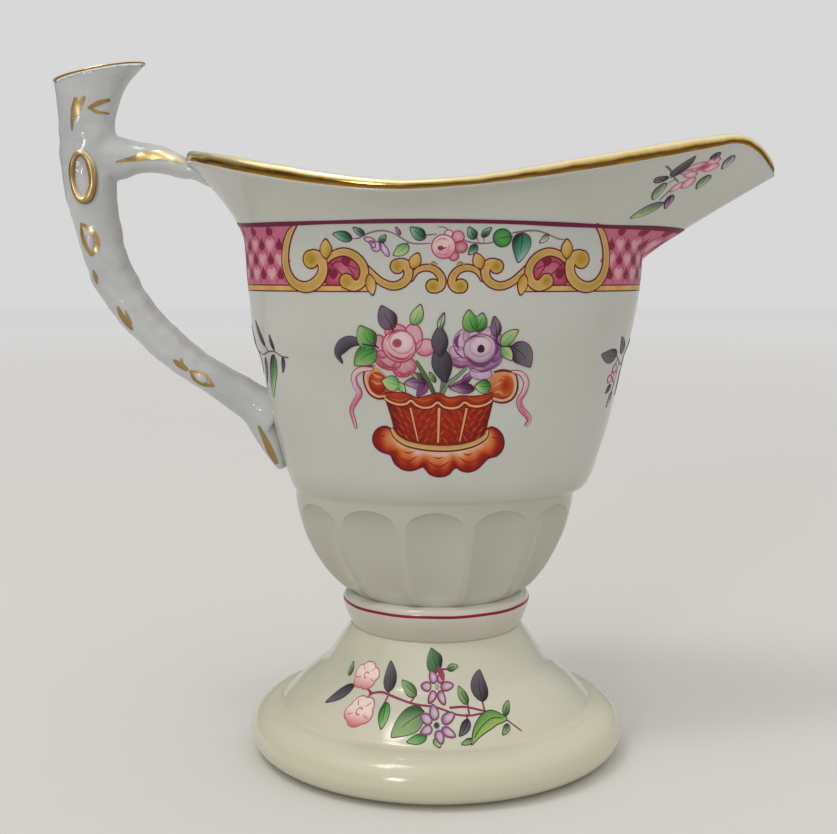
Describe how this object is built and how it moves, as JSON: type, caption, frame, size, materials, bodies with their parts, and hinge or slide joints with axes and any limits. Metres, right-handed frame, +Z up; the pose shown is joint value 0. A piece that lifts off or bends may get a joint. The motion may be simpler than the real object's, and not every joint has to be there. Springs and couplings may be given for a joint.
{
  "type": "cream jug",
  "caption": "Footed helmet-shaped porcelain cream jug with a fluted oval bowl, a pouring spout, a gilt lip and a branch-shaped loop handle.",
  "frame": {"origin": "middle of the whole jug's footprint on the table plane, 4 mm from the foot's axis towards the handle", "axes": "+X from the handle to the spout, +Y across the bowl, +Z up"},
  "size_m": [0.1307, 0.0698, 0.1271],
  "materials": {
    "porcelain_glaze": "glossy pale celadon-grey glaze",
    "foot_glaze": "glossy glaze, slightly warmer than the bowl",
    "gilding": "burnished overglaze gold",
    "enamel_pink": "rose-pink overglaze enamel",
    "enamel_maroon": "maroon overglaze enamel",
    "enamel_violet": "violet overglaze enamel",
    "enamel_green": "bright green overglaze enamel",
    "enamel_dark_leaf": "dark grey-purple overglaze enamel",
    "enamel_red": "orange-red overglaze enamel",
    "enamel_ochre": "ochre overglaze enamel"
  },
  "bodies": {
    "root": {"pedestal_foot": "foot_glaze", "bowl": "porcelain_glaze", "foot_collar": "porcelain_glaze", "handle_branch": "porcelain_glaze", "handle_bridge": "porcelain_glaze", "handle_tail": "porcelain_glaze", "handle_horn": "porcelain_glaze", "knot_boss_near": "porcelain_glaze", "knot_boss_far": "porcelain_glaze", "gilt_lip_bead": "gilding", "horn_gilt_rim": "gilding", "knot_hoop_near": "gilding", "knot_hoop_far": "gilding", "twig_knot_near_1": "gilding", "twig_knot_near_2": "gilding", "twig_knot_near_3": "gilding", "twig_knot_near_4": "gilding", "twig_knot_near_5": "gilding", "twig_knot_far_1": "gilding", "twig_knot_far_2": "gilding", "twig_knot_far_3": "gilding", "twig_knot_far_4": "gilding", "twig_knot_far_5": "gilding"}
  },
  "joints": []
}
